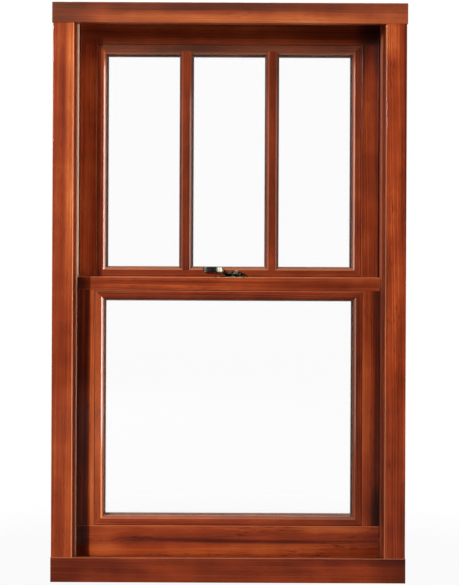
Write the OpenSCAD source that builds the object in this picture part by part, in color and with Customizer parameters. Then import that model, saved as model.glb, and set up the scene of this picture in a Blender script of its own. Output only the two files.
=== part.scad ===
// A double-hung sash window in its frame: three lights over one, with a cam lock on the meeting rail.
// The inside of the window faces -Y, the outside +Y. The origin is under the middle of the window.

/* [Overall] */
// Width across the head casing, the widest piece
window_w = 762; // [700:1:900]
// Height from the underside of the sill to the top of the head casing
window_h = 1243; // [1200:1:1400]
// Depth of the jambs, from the back of the casings to the outside
jamb_depth = 167; // [160:1:190]

/* [Casings] */
// Height of the head casing's face
head_casing_h = 44.5; // [36:0.5:60]
// Width of a side casing's face
side_casing_w = 45; // [38:0.5:60]
// Height of the sill casing's face
sill_casing_h = 53; // [40:0.5:60]
// Thickness of the side casings
casing_t = 19; // [15:0.5:20]
// Thickness of the head and sill casings
cap_casing_t = 21; // [20:0.5:26]
// Overhang of the head casing past each side casing
head_overhang = 1.5; // [1:0.5:6]
// Set-back of the sill casing's ends from the head casing's
sill_casing_inset = 1; // [0:0.5:4]
// Radius of the casings' eased front edges
casing_ease = 3; // [1:0.5:5]

/* [Frame] */
// Thickness of the side jambs
jamb_t = 19; // [16:0.5:20]
// Thickness of the head jamb
head_jamb_t = 19; // [16:0.5:25]
// Height by which the head casing stands above the jambs
jamb_drop = 2; // [1:0.5:6]
// Depth of the pocket between stop face and jamb, which holds liner and balances
pocket_d = 23.5; // [22:0.5:25]
// Depth of the housing that takes the ends of head jamb and sill
dado_d = 6; // [3:0.5:9]
// Height of the sill under the lower sash
sill_h = 30; // [24:0.5:38]
// Drop from the sill's flat to the start of its slope
sill_step = 3; // [1:0.5:5]
// Reach of the sill's nose past the jambs
sill_nose = 20; // [14:0.5:40]
// Height of the sill's nose
sill_nose_h = 14; // [10:0.5:16]
// Radius of the drip groove under the nose
drip_r = 2.5; // [1.5:0.5:4]
// Thickness of the blind stops outside the upper sash
blind_stop_t = 19; // [12:0.5:24]
// Lap of the blind stops over the sash opening
blind_stop_lap = 11; // [4:0.5:16]
// Height of the head blind stop
head_blind_h = 35; // [20:0.5:44]
// Length of the corner screws
screw_l = 45; // [35:1:60]
// Radius of the corner screws' shank
screw_r = 2.25; // [1.5:0.25:3]
// Radius of the installation screw holes
install_r = 2.6; // [2:0.1:4]
// Distance of the installation holes from the foot and the top of a jamb
install_end = 160; // [100:5:250]

/* [Sashes] */
// Thickness of both sashes
sash_t = 44; // [42:0.5:46]
// Gap between the two sash planes
sash_gap = 2; // [2:0.5:4]
// Gap between a sash and the liners
side_gap = 3; // [2:0.5:5]
// Gap between the stops and the lower sash
stop_gap = 1; // [0.5:0.5:3]
// Gap between the upper sash and the blind stops
track_gap = 2; // [1:0.5:4]
// Face height of the bottom rail
bottom_rail_h = 76; // [64:0.5:110]
// Face height of both meeting rails
meeting_rail_h = 29; // [28:0.5:40]
// Face height of the top rail
top_rail_h = 45; // [38:0.5:70]
// Face width of the stiles
stile_w = 37.5; // [36:0.5:55]
// Height by which the meeting rails lap each other
meeting_lap = 27; // [24:0.5:27]
// Gap under the lower sash, filled by its seal
seat_gap = 4; // [3:0.5:8]
// Gap over the upper sash, filled by its seal
head_gap = 4; // [3:0.5:8]
// Travel of each sash
sash_travel = 480; // [300:5:480]
// Radius of the eased edges of rails, stiles and beads
sash_ease = 1.2; // [0.6:0.1:2]
// Length of the stiles' tenons
tenon_l = 22; // [14:0.5:24]
// Width of the stiles' tenons
tenon_w = 26; // [16:0.5:30]
// Thickness of the stiles' tenons
tenon_t = 9; // [6:0.5:9]

/* [Glazing] */
// Width of a glazing bead, from the rail to its edge on the glass
bead_w = 20.5; // [18:0.5:26]
// Width of the quirk and flat band of a bead
band_w = 14.5; // [11:0.5:18]
// Depth of a bead's chamfer
chamfer_d = 5; // [4:0.5:14]
// Depth of a bead, from the sash's face to the glass
bead_d = 17; // [15:0.5:18]
// Width of the quirk between a bead and the rail beside it
quirk_w = 1.5; // [1:0.25:3]
// Depth of the quirk
quirk_d = 3; // [1.5:0.5:5]
// Thickness of a pane
pane_t = 4; // [3:0.5:4]
// Width of the sealed space between the panes
pane_space = 12; // [8:0.5:12]
// Gap round the edge of the panes
edge_gap = 5; // [3:0.5:8]
// Width of the spacer between the panes
spacer_w = 8; // [5:0.5:10]
// Set-back of the spacer from the panes' edge
spacer_inset = 4; // [2:0.5:6]
// Length of a setting block under the panes
setting_block_l = 80; // [40:5:120]
// Width of the fixed glazing lip on the outside, from the rail to the sight edge
lip_w = 23; // [20:0.5:30]
// Bevel of the fixed glazing lip
lip_bevel = 4; // [1:0.5:6]
// Width of the flat of a muntin
muntin_flat = 15; // [10:0.5:24]
// Depth of a muntin's chamfers
muntin_chamfer_d = 3.5; // [2:0.5:14]

/* [Liners and balances] */
// Wall of the jamb liners
liner_t = 2; // [1.5:0.25:2.5]
// Width of the slots that the sash guides run in
slot_w = 7; // [6:0.25:8]
// Depth of the ribs along the slots
slot_rib = 2.5; // [1:0.25:4]
// Thickness of the ribs along the slots
slot_rib_t = 1.2; // [0.8:0.1:1.4]
// Width of the sash guides
guide_w = 10; // [9.6:0.2:12]
// Height of the sash guides
guide_h = 24; // [18:1:28]
// Radius of the guides' stubs in the rails
stub_r = 4; // [3:0.25:5]
// Length of the guides' stubs
stub_l = 20; // [10:1:26]
// Outside diameter of a balance tube
tube_d = 14; // [12:0.5:15]
// Wall of a balance tube
tube_wall = 1.2; // [0.8:0.1:2]
// Diameter of a balance rod
rod_d = 6; // [4:0.5:8]
// Length of rod that stays in its tube
rod_lap = 30; // [20:1:60]
// Height of the caps that hold the tubes
cap_h = 25; // [20:1:30]

/* [Lock] */
// Place of the lock's pivot to the right of the middle
lock_x = 15.5; // [-40:0.5:40]
// Distance of the pivot from the back of the meeting rail
pivot_inset = 10.5; // [10:0.25:12]
// Reach of the cam past the upper sash's face
cam_reach = 3.2; // [2.5:0.1:3.6]
// Thickness of the cam's crescent
crescent_t = 2.4; // [1.8:0.1:2.6]
// Height of the crescent
crescent_h = 6.2; // [5.5:0.1:7]
// Thickness of the web under the crescent
cam_web_t = 1.6; // [1.2:0.1:2]
// Half of the angle that the crescent covers
cam_half_angle = 25; // [15:1:26]
// Turn of the lever from open to locked
lever_turn = 150; // [140:1:155]
// Thickness of the lock's base
base_t = 2.5; // [2:0.1:3.5]
// Half of the depth of the lock's base
base_r = 10.5; // [9:0.25:11]
// Length of the lock's base, left of the pivot
base_left = 46.5; // [40:0.5:60]
// Length of the lock's base, right of the pivot
base_right = 26.5; // [26:0.5:40]
// Outer radius of the lock's housing
housing_r = 17.5; // [17.4:0.1:19]
// Height of the lock's housing over its base
housing_h = 10.5; // [10:0.25:14]
// Radius of the lever's hub
hub_r = 9; // [7:0.25:9.5]
// Thickness of the lever's arm
arm_t = 4.2; // [3:0.1:5]
// Width of the lever's arm
arm_w = 9; // [6:0.25:9.5]
// Length of the level part of the arm, from the pivot
arm_level = 17; // [16:0.5:24]
// Rise of the arm to the thumb pad
arm_rise = 16; // [8:0.5:20]
// Reach of the lever from the pivot to the tip of its pad
lever_reach = 72.5; // [60:0.5:90]
// Height of the thumb pad
pad_h = 10.3; // [6:0.1:14]
// Width of the thumb pad
pad_w = 12; // [8:0.25:14]
// Radius of the lock's pivot
pivot_r = 2.5; // [2:0.1:3]
// Thickness of the keeper's metal
keeper_t = 1.2; // [1:0.1:1.4]

/* [Hidden] */
$fn = 48;
// Clearance of fixed pieces in their seats, and of moving pieces that pass each other
fit = 0.1;
run = 0.3;
// Overcut of holes and edge cuts
over = 1;

mahogany = "#8a3a1c";
vinyl = "#d9b79c";
glass = "#d6e6e8";
nickel = "#b9b6ac";
steel = "#8c8f92";
aluminium = "#c9ccce";
nylon = "#e6e2d8";
rubber = "#2b2b2b";

// Depths, from the inside face to the outside
front_y = -(cap_casing_t + jamb_depth + sill_nose) / 2;
jamb_y0 = front_y + cap_casing_t;
jamb_y1 = jamb_y0 + jamb_depth;
nose_y = jamb_y1 + sill_nose;
track_y1 = jamb_y1 - blind_stop_t;
upper_y = track_y1 - track_gap - sash_t;
lower_y = upper_y - sash_gap - sash_t;
stop_y1 = lower_y - stop_gap;
lip_v = bead_d + 2 * pane_t + pane_space;

// Widths, as half distances from the middle
opening_x = window_w / 2 - head_overhang - side_casing_w;
jamb_x = opening_x + pocket_d;
sash_x = opening_x - side_gap;
liner_nose = 0.6 * side_gap;
light_w = 2 * (sash_x - stile_w);
chamfer_w = bead_w - band_w;
sight_w = light_w - 2 * lip_w;
muntin_w = muntin_flat + 2 * (lip_w - band_w);
muntin_x = (sight_w + muntin_w) / 6;

// Heights
jamb_top = window_h - jamb_drop;
soffit_z = jamb_top - head_jamb_t;
lower_z0 = sill_h + seat_gap;
upper_z1 = soffit_z - head_gap;
light_h = (upper_z1 - lower_z0 + meeting_lap - bottom_rail_h - top_rail_h - 2 * meeting_rail_h) / 2;
lower_light_z = lower_z0 + bottom_rail_h;
lower_z1 = lower_light_z + light_h + meeting_rail_h;
upper_light_z = upper_z1 - top_rail_h - light_h;
upper_z0 = upper_light_z - meeting_rail_h;

// Guides and balances, as depths from a sash's face and heights
slot_v = sash_t / 2;
tube_gap = 0.5;
tube_v = slot_v - guide_w / 2 - tube_gap - tube_d / 2;
guide_x0 = opening_x + liner_t + slot_rib + run;
guide_x1 = jamb_x - liner_t - run;
neck_gap = 0.5;
tube_x = (opening_x + jamb_x) / 2;
shoe_rise = 40;
lower_shoe_z = lower_z0 + shoe_rise;
lower_guide_z = lower_z1 - meeting_rail_h / 2;
upper_shoe_z = upper_z0 + meeting_rail_h / 2;
upper_guide_z = upper_z1 - top_rail_h / 2;
tube_room = 5;
rod_seat = 10;
rod_wall = 2;
rod_room = 15;
cap_spigot = cap_h / 2;
cap_z = soffit_z - cap_h;
lower_tube_z = lower_shoe_z + guide_h / 2 + sash_travel + tube_room;
upper_tube_z = upper_shoe_z + guide_h / 2 + tube_room;

// Screws
head_r = 2 * screw_r;
screw_front = 30;
screw_back = 8;
screw_y = [jamb_y0 + screw_front, lower_y + sash_t - screw_back];
screw_z = [sill_h / 2, jamb_top - head_jamb_t / 2];
install_back = 36;
install_y = lower_y + install_back;
install_z = [install_end, jamb_top - install_end];
install_clear_r = 2.4 * install_r;
lock_screw_r = 1.75;
lock_screw_head = 3;
lock_screw_l = 18;
keeper_screw_r = 1.2;
keeper_screw_head = 2.2;
keeper_screw_l = 14;

// Pile seal of the meeting rails: its height, its strip, and the foot in the rail's groove
pile_z = upper_z0 + 3.5;
pile_h = 5;
pile_foot_t = 2;
pile_foot_d = 3;

// Lock, as depths and heights
pivot_y = lower_y + sash_t - pivot_inset;
base_top = lower_z1 + base_t;
cam_z = base_top + run;
cam_r = pivot_inset + sash_gap + cam_reach;
housing_back = 0.7;
housing_y1 = pivot_y + pivot_inset - housing_back;
housing_taper = 3;
cam_gap = 0.4;
cavity_r = cam_r + cam_gap;
cavity_top = cam_z + crescent_h + run;
lock_screw_inset = [6.5, 4.5];
lock_screw_x = [lock_x - base_left + lock_screw_inset[0], lock_x + base_right - lock_screw_inset[1]];
pivot_gap = 0.06;
rivet_h = 1.7;
pad_soft = 1.5;
lip_r = cam_r - crescent_t - run;
keeper_roof = cam_z + crescent_h + cam_gap;
keeper_half = cam_r * 0.6;
keeper_back = upper_y + cam_reach + run;
keeper_plate_half = 16;
keeper_plate_h = 19;
keeper_screw_x = 12;
notch_half = keeper_half + keeper_t;

// Extrusions of an outline: along X from (y, z), along Y from (x, z), along Z from (x, y)
module along_x(x0, x1) {
    translate([x0, 0, 0]) rotate([90, 0, 90]) linear_extrude(x1 - x0) children();
}
module along_y(y0, y1) {
    translate([0, y1, 0]) rotate([90, 0, 0]) linear_extrude(y1 - y0) children();
}
module along_z(z0, z1) {
    translate([0, 0, z0]) linear_extrude(z1 - z0) children();
}
module rect(p, q) {
    translate([min(p[0], q[0]), min(p[1], q[1])]) square([abs(q[0] - p[0]), abs(q[1] - p[1])]);
}
module block(p, q) {
    translate(p) cube(q - p);
}
// What is cut off the corner p of an outline to ease it, with the outline lying on the side dir
module ease(p, dir, r) {
    difference() {
        rect(p - over * dir, p + r * dir);
        translate(p + r * dir) circle(r);
    }
}
// A countersunk screw along -Z with its head's face at the origin
module screw(r, head, l, gap = 0) {
    translate([0, 0, -l]) cylinder(r = r + gap, h = l);
    translate([0, 0, -head + r]) cylinder(r1 = r + gap, r2 = head + gap, h = head - r);
}

// Casings
module side_casing() {
    y0 = jamb_y0 - casing_t;
    along_z(sill_casing_h, window_h - head_casing_h) difference() {
        rect([opening_x, y0], [opening_x + side_casing_w, jamb_y0]);
        ease([opening_x, y0], [1, 1], casing_ease);
        ease([opening_x + side_casing_w, y0], [-1, 1], casing_ease / 2);
    }
}
module left_casing() color(mahogany) mirror([1, 0, 0]) side_casing();
module right_casing() color(mahogany) side_casing();
module head_casing() color(mahogany) {
    z0 = window_h - head_casing_h;
    along_x(-window_w / 2, window_w / 2) difference() {
        rect([front_y, z0], [jamb_y0, window_h]);
        ease([front_y, z0], [1, 1], casing_ease / 2);
        ease([front_y, window_h], [1, -1], casing_ease);
    }
}
module sill_casing() color(mahogany) {
    half = window_w / 2 - sill_casing_inset;
    along_x(-half, half) difference() {
        rect([front_y, 0], [jamb_y0, sill_casing_h]);
        ease([front_y, sill_casing_h], [1, -1], casing_ease / 2);
        ease([front_y, 0], [1, 1], casing_ease / 2);
    }
}

// Jambs and sill
module corner_screws(gap = 0) {
    for (side = [-1, 1], y = screw_y, z = screw_z)
        translate([side * (jamb_x + jamb_t), y, z]) rotate([0, side * 90, 0])
            screw(screw_r, head_r, screw_l, gap);
}
module sill_outline() {
    step_y = lower_y + sash_t + sash_gap / 2;
    difference() {
        polygon([
            [jamb_y0, 0], [nose_y, 0], [nose_y, sill_nose_h],
            [step_y, sill_h - sill_step], [step_y, sill_h], [jamb_y0, sill_h]
        ]);
        translate([nose_y - 3 * drip_r, 0]) circle(drip_r);
    }
}
module sill_body() {
    along_x(-jamb_x - dado_d, jamb_x + dado_d) sill_outline();
}
module head_body() {
    along_x(-jamb_x - dado_d, jamb_x + dado_d) rect([jamb_y0, soffit_z], [jamb_y1, jamb_top]);
}
module sill() color(mahogany) difference() {
    sill_body();
    corner_screws(fit);
}
module head_jamb() color(mahogany) difference() {
    head_body();
    corner_screws(fit);
}
module side_jamb() {
    difference() {
        block([jamb_x, jamb_y0, 0], [jamb_x + jamb_t, jamb_y1, jamb_top]);
        sill_body();
        head_body();
        corner_screws(fit);
        for (z = install_z)
            translate([jamb_x - over, install_y, z]) rotate([0, 90, 0])
                cylinder(r = install_r, h = jamb_t + 2 * over);
    }
}
module left_jamb() color(mahogany) mirror([1, 0, 0]) side_jamb();
module right_jamb() color(mahogany) side_jamb();
module frame_screws() color(steel) corner_screws();

// Stops
module side_stop() {
    block([opening_x, jamb_y0, sill_h], [jamb_x, stop_y1, soffit_z]);
}
module left_stop() color(mahogany) mirror([1, 0, 0]) side_stop();
module right_stop() color(mahogany) side_stop();
module side_blind_stop() {
    difference() {
        block([opening_x - blind_stop_lap, track_y1, 0], [jamb_x, jamb_y1, soffit_z]);
        sill_body();
    }
}
module left_blind_stop() color(mahogany) mirror([1, 0, 0]) side_blind_stop();
module right_blind_stop() color(mahogany) side_blind_stop();
module head_blind_stop() color(mahogany) {
    half = opening_x - blind_stop_lap;
    block([-half, track_y1, soffit_z - head_blind_h], [half, jamb_y1, soffit_z]);
}

// Jamb liners: one extrusion each, with a slotted face, three legs and a back. The front leg's nose
// stands in the gap beside the lower sash.
module liner_outline() {
    y_slots = [lower_y + slot_v, upper_y + slot_v];
    difference() {
        union() {
            rect([opening_x, stop_y1], [opening_x + liner_t, track_y1]);
            for (y = y_slots)
                rect([opening_x, y - slot_w / 2 - slot_rib_t],
                     [opening_x + liner_t + slot_rib, y + slot_w / 2 + slot_rib_t]);
        }
        for (y = y_slots)
            rect([opening_x - over, y - slot_w / 2], [jamb_x, y + slot_w / 2]);
    }
    rect([jamb_x - liner_t, stop_y1], [jamb_x, track_y1]);
    rect([opening_x - liner_nose, stop_y1], [jamb_x, stop_y1 + liner_t]);
    for (leg = [[lower_y + sash_t, upper_y], [track_y1 - liner_t, track_y1]])
        rect([opening_x, leg[0]], [jamb_x, leg[1]]);
}
module side_liner() {
    difference() {
        along_z(sill_h, soffit_z) liner_outline();
        for (z = install_z)
            translate([jamb_x - liner_t - over, install_y, z]) rotate([0, 90, 0])
                cylinder(r = install_clear_r, h = liner_t + 2 * over);
    }
}
module left_liner() color(vinyl) mirror([1, 0, 0]) side_liner();
module right_liner() color(vinyl) side_liner();

// Sash balances: a tube fixed under the head, and a rod that rises into it from the sash's shoe
module both_sides() {
    for (side = [0, 1]) mirror([side, 0, 0]) children();
}
module tubes(y, z) {
    both_sides() translate([tube_x, y + tube_v, z]) difference() {
        cylinder(d = tube_d, h = cap_z - z);
        translate([0, 0, -over]) cylinder(d = tube_d - 2 * tube_wall, h = cap_z - z + 2 * over);
    }
}
module lower_balance_tubes() color(steel) tubes(lower_y, lower_tube_z);
module upper_balance_tubes() color(steel) tubes(upper_y, upper_tube_z);
module balance_caps() color(nylon) {
    spigot_r = tube_d / 2 - tube_wall - fit;
    both_sides() for (y = [lower_y + tube_v, upper_y + tube_v]) {
        block([opening_x + liner_t + run, y - tube_d / 2 + tube_gap, cap_z],
              [jamb_x - liner_t, y + tube_d / 2 - tube_gap, soffit_z]);
        translate([tube_x, y, cap_z - cap_spigot]) cylinder(r = spigot_r, h = cap_spigot);
    }
}
module rods(y, z, z1) {
    z0 = z + guide_h / 2 - rod_seat;
    both_sides() translate([tube_x, y + tube_v, z0]) cylinder(d = rod_d, h = z1 - z0);
}
module lower_balance_rods() color(steel) rods(lower_y, lower_shoe_z, lower_tube_z + rod_lap);
module upper_balance_rods() color(steel) rods(upper_y, upper_shoe_z, cap_z - cap_spigot - rod_room);

// Sash guides: a nylon block in the liner's channel, a neck through its slot, a stub in the rail's end
module guide(y, z) {
    neck = slot_w / 2 - neck_gap;
    block([guide_x0, y - guide_w / 2, z - guide_h / 2], [guide_x1, y + guide_w / 2, z + guide_h / 2]);
    block([sash_x, y - neck, z - guide_h / 3], [guide_x0, y + neck, z + guide_h / 3]);
    translate([sash_x - stub_l, y, z]) rotate([0, 90, 0]) cylinder(r = stub_r, h = stub_l);
}
module shoe(y, z) {
    foot_y = y - slot_v + tube_v;
    difference() {
        union() {
            guide(y, z);
            block([guide_x0, foot_y - rod_d / 2 - rod_wall, z - guide_h / 2], [guide_x1, y, z + guide_h / 2]);
        }
        translate([tube_x, foot_y, z + guide_h / 2 - rod_seat]) cylinder(d = rod_d + fit, h = rod_seat + over);
    }
}
module guides(y, shoe_z, guide_z) {
    both_sides() {
        shoe(y + slot_v, shoe_z);
        guide(y + slot_v, guide_z);
    }
}
module lower_guides() color(nylon) guides(lower_y, lower_shoe_z, lower_guide_z);
module upper_guides() color(nylon) guides(upper_y, upper_shoe_z, upper_guide_z);
module stub_bores(y, z) {
    both_sides() translate([sash_x - stub_l - over, y + slot_v, z]) rotate([0, 90, 0])
        cylinder(r = stub_r + fit, h = stub_l + 2 * over);
}

// Bars round a sash's light. An outline is drawn as (v, u): v back from the sash's face, u from the
// rail's edge towards the glass. The bar is laid along the bottom and turned to its side.
module on_side(side, y, z) {
    turn = side == "top" ? 180 : side == "left" ? 90 : side == "right" ? -90 : 0;
    x = side == "left" ? -light_w / 2 : side == "right" ? light_w / 2 : 0;
    up = side == "top" ? light_h : side == "bottom" ? 0 : light_h / 2;
    translate([x, y, z + up]) rotate([0, turn, 0]) children();
}
function bar_l(side) = side == "left" || side == "right" ? light_h : light_w;
module mitred_bar(side, w) {
    l = bar_l(side);
    intersection() {
        along_x(-l / 2, l / 2) children();
        along_y(-over, sash_t + over)
            polygon([[-l / 2, 0], [l / 2, 0], [l / 2 - w, w], [w - l / 2, w]]);
    }
}
module bead_outline() {
    difference() {
        polygon([
            [quirk_d, 0], [quirk_d, quirk_w], [0, quirk_w], [0, band_w],
            [chamfer_d, bead_w], [bead_d, bead_w], [bead_d, 0]
        ]);
        ease([0, quirk_w], [1, 1], sash_ease);
    }
}
module bead(side, y, z) {
    on_side(side, y, z) mitred_bar(side, bead_w) bead_outline();
}
module lip(side) {
    mitred_bar(side, lip_w) polygon([
        [lip_v, 0], [sash_t, 0], [sash_t, lip_w - lip_bevel], [sash_t - lip_bevel, lip_w], [lip_v, lip_w]
    ]);
}

// Sash members: rails run across the whole sash, and the stiles are tenoned between them
module rail(side, y, z, h) {
    on_side(side, y, z) difference() {
        union() {
            along_x(-sash_x, sash_x) difference() {
                rect([0, -h], [sash_t, 0]);
                ease([0, 0], [1, -1], sash_ease);
                ease([0, -h], [1, 1], sash_ease);
            }
            lip(side);
        }
        both_sides() tenon(fit);
    }
}
module tenon(gap = 0) {
    stub_cover = 1;
    v = (slot_v + stub_r + stub_cover + lip_v) / 2;
    mid = sash_x - stile_w / 2;
    block([mid - tenon_w / 2 - gap, v - tenon_t / 2 - gap, -tenon_l - gap],
          [mid + tenon_w / 2 + gap, v + tenon_t / 2 + gap, over]);
}
module stile(side, y, z) {
    on_side(side, y, z) {
        along_x(-light_h / 2, light_h / 2) difference() {
            rect([0, -stile_w], [sash_t, 0]);
            ease([0, 0], [1, -1], sash_ease);
        }
        lip(side);
    }
    mirror([side == "left" ? 1 : 0, 0, 0]) translate([0, y, z]) {
        tenon();
        translate([0, 0, light_h]) mirror([0, 0, 1]) tenon();
    }
}
module lower_meeting_rail() color(mahogany) difference() {
    rail("top", lower_y, lower_light_z, meeting_rail_h);
    stub_bores(lower_y, lower_guide_z);
    lock_fasteners(fit);
}
module bottom_rail() color(mahogany) difference() {
    rail("bottom", lower_y, lower_light_z, bottom_rail_h);
    stub_bores(lower_y, lower_shoe_z);
}
module lower_left_stile() color(mahogany) stile("left", lower_y, lower_light_z);
module lower_right_stile() color(mahogany) stile("right", lower_y, lower_light_z);
module top_rail() color(mahogany) difference() {
    rail("top", upper_y, upper_light_z, top_rail_h);
    stub_bores(upper_y, upper_guide_z);
}
module upper_meeting_rail() color(mahogany) difference() {
    rail("bottom", upper_y, upper_light_z, meeting_rail_h);
    stub_bores(upper_y, upper_shoe_z);
    seal_outline_bar(fit);
    keeper_fasteners(fit);
    block([lock_x - notch_half, upper_y - over, upper_light_z - keeper_t - 2 * fit],
          [lock_x + notch_half, keeper_back + keeper_t + fit, upper_light_z + over]);
}
module upper_left_stile() color(mahogany) stile("left", upper_y, upper_light_z);
module upper_right_stile() color(mahogany) stile("right", upper_y, upper_light_z);

// Glazing beads
module lower_top_bead() color(mahogany) bead("top", lower_y, lower_light_z);
module lower_bottom_bead() color(mahogany) bead("bottom", lower_y, lower_light_z);
module lower_left_bead() color(mahogany) bead("left", lower_y, lower_light_z);
module lower_right_bead() color(mahogany) bead("right", lower_y, lower_light_z);
module upper_top_bead() color(mahogany) bead("top", upper_y, upper_light_z);
module upper_bottom_bead() color(mahogany) difference() {
    bead("bottom", upper_y, upper_light_z);
    block([lock_x - notch_half, upper_y - over, upper_light_z - over],
          [lock_x + notch_half, keeper_back + keeper_t + fit, keeper_roof + keeper_t + run]);
}
module upper_left_bead() color(mahogany) bead("left", upper_y, upper_light_z);
module upper_right_bead() color(mahogany) bead("right", upper_y, upper_light_z);

// Muntins: bars on both faces of the glass, coped over the beads and lips at their ends
module muntin(x) {
    half = muntin_flat / 2 + chamfer_w;
    difference() {
        translate([x, upper_y, 0]) along_z(upper_light_z + band_w, upper_light_z + light_h - band_w) polygon([
            [-muntin_flat / 2, 0], [muntin_flat / 2, 0], [half, muntin_chamfer_d],
            [half, bead_d], [-half, bead_d], [-half, muntin_chamfer_d]
        ]);
        bead("bottom", upper_y, upper_light_z);
        bead("top", upper_y, upper_light_z);
    }
}
module left_muntin() color(mahogany) muntin(-muntin_x);
module right_muntin() color(mahogany) muntin(muntin_x);
module outer_muntins() color(mahogany) {
    half = muntin_w / 2;
    both_sides() difference() {
        translate([muntin_x, upper_y, 0])
            along_z(upper_light_z + lip_w - lip_bevel, upper_light_z + light_h - lip_w + lip_bevel) polygon([
                [-half, lip_v], [half, lip_v], [half, sash_t - lip_bevel],
                [half - lip_bevel, sash_t], [lip_bevel - half, sash_t], [-half, sash_t - lip_bevel]
            ]);
        on_side("bottom", upper_y, upper_light_z) lip("bottom");
        on_side("top", upper_y, upper_light_z) lip("top");
    }
}

// Sealed glazing: two panes, the spacer between them and the blocks they stand on
module pane_block(y0, y1, z, inset) {
    half = light_w / 2 - inset;
    block([-half, y0, z + inset], [half, y1, z + light_h - inset]);
}
module inner_pane(y, z) {
    pane_block(y + bead_d, y + bead_d + pane_t, z, edge_gap);
}
module outer_pane(y, z) {
    pane_block(y + lip_v - pane_t, y + lip_v, z, edge_gap);
}
module spacer(y, z) {
    y0 = y + bead_d + pane_t;
    inset = edge_gap + spacer_inset;
    difference() {
        pane_block(y0, y0 + pane_space, z, inset);
        pane_block(y0 - over, y0 + pane_space + over, z, inset + spacer_w);
    }
}
module setting_blocks(y, z) {
    both_sides() translate([light_w / 4, y + bead_d, z])
        translate([-setting_block_l / 2, 0, 0]) cube([setting_block_l, lip_v - bead_d, edge_gap]);
}
module lower_inner_pane() color(glass, 0.4) inner_pane(lower_y, lower_light_z);
module lower_outer_pane() color(glass, 0.4) outer_pane(lower_y, lower_light_z);
module lower_spacer() color(aluminium) spacer(lower_y, lower_light_z);
module lower_setting_blocks() color(rubber) setting_blocks(lower_y, lower_light_z);
module upper_inner_pane() color(glass, 0.4) inner_pane(upper_y, upper_light_z);
module upper_outer_pane() color(glass, 0.4) outer_pane(upper_y, upper_light_z);
module upper_spacer() color(aluminium) spacer(upper_y, upper_light_z);
module upper_setting_blocks() color(rubber) setting_blocks(upper_y, upper_light_z);

// Seals: bulbs under the head and under the lower sash, and a pile strip between the meeting rails
module bulb_seal(y, z, gap, dir) {
    r = (gap - run) / 2;
    along_x(-sash_x + over, sash_x - over) {
        translate([y + slot_v, z + dir * r]) circle(r);
        rect([y + slot_v - 2.5 * r, z], [y + slot_v + 2.5 * r, z + dir * r * 0.6]);
    }
}
module head_seal() color(rubber) bulb_seal(upper_y, soffit_z, head_gap, -1);
module bottom_seal() color(rubber) bulb_seal(lower_y, lower_z0, seat_gap, -1);
module seal_outline_bar(gap = 0) {
    half = pile_foot_t / 2 + gap;
    along_x(-sash_x + over - gap, sash_x - over + gap)
        rect([upper_y - gap, pile_z - half], [upper_y + pile_foot_d + gap, pile_z + half]);
}
module meeting_seal() color(rubber) {
    seal_outline_bar();
    along_x(-sash_x + over, sash_x - over)
        rect([upper_y - sash_gap + run, pile_z - pile_h / 2], [upper_y, pile_z + pile_h / 2]);
}

// Sash lock: a housing screwed to the lower meeting rail, with a lever whose cam swings behind the keeper
module on_pivot(z = 0) {
    translate([lock_x, pivot_y, z]) children();
}
module lock_fasteners(gap = 0) {
    for (x = lock_screw_x)
        translate([x, pivot_y, base_top]) screw(lock_screw_r, lock_screw_head, lock_screw_l, gap);
}
module pie(r, a0, a1) {
    steps = ceil((a1 - a0) / 30);
    polygon(concat([[0, 0]], [for (i = [0:steps]) let (a = a0 + (a1 - a0) * i / steps) r * [cos(a), sin(a)]]));
}
module lock_housing() color(nickel) {
    left = lock_x - base_left + base_r;
    right = lock_x + base_right - base_r;
    arm_half_angle = asin(arm_w / 2 / cavity_r) + 5;
    difference() {
        union() {
            along_z(lower_z1, base_top) {
                translate([left, pivot_y]) circle(base_r);
                translate([right, pivot_y]) circle(base_r);
                rect([left, pivot_y - base_r], [right, pivot_y + base_r]);
            }
            intersection() {
                on_pivot(lower_z1) rotate_extrude() polygon([
                    [0, 0], [housing_r, 0], [housing_r, base_t + housing_h * 0.55],
                    [housing_r - housing_taper, base_t + housing_h], [0, base_t + housing_h]
                ]);
                block([lock_x - 2 * housing_r, pivot_y - 2 * housing_r, lower_z1],
                      [lock_x + 2 * housing_r, housing_y1, lower_z1 + 2 * housing_r]);
            }
        }
        on_pivot(base_top) cylinder(r = cavity_r, h = cavity_top - base_top);
        on_pivot(base_top) linear_extrude(arm_t + 3 * run)
            pie(2 * housing_r, 180 - arm_half_angle, 180 + lever_turn + arm_half_angle);
        on_pivot(lower_z1 - over) cylinder(r = pivot_r, h = housing_h + base_t + 2 * over);
        lock_fasteners(fit);
        block([lock_x - base_left - over, housing_y1, lower_z1 - over],
              [lock_x + base_right + over, housing_y1 + base_r, lower_z1 + 2 * housing_h]);
    }
}
module lock_pivot() color(nickel) on_pivot(lower_z1) {
    top = base_t + housing_h;
    rotate_extrude() polygon([
        [0, 0], [pivot_r, 0], [pivot_r, top], [2 * pivot_r, top],
        [1.6 * pivot_r, top + 0.7 * rivet_h], [pivot_r, top + rivet_h], [0, top + rivet_h]
    ]);
}
module lock_screws() color(nickel) lock_fasteners();
module lever_side() {
    rise = [arm_level + arm_rise, arm_t + arm_rise];
    polygon([
        [hub_r, 0], [hub_r, arm_t], [-arm_level, arm_t], -[rise[0], -rise[1]],
        [pad_soft - lever_reach, rise[1]], [-lever_reach, rise[1] - pad_soft],
        [-lever_reach, rise[1] - pad_h + pad_soft], [pad_soft - lever_reach, rise[1] - pad_h],
        [-rise[0] - arm_t, rise[1] - pad_h], [-arm_level - arm_t / 2, 0]
    ]);
}
module lever_plan() {
    circle(hub_r);
    rect([-arm_level - arm_rise - pad_w / 2, -arm_w / 2], [0, arm_w / 2]);
    rect([pad_w / 2 - lever_reach, -pad_w / 2], [-arm_level - arm_rise, pad_w / 2]);
    translate([pad_w / 2 - lever_reach, 0]) circle(pad_w / 2);
}
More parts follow.
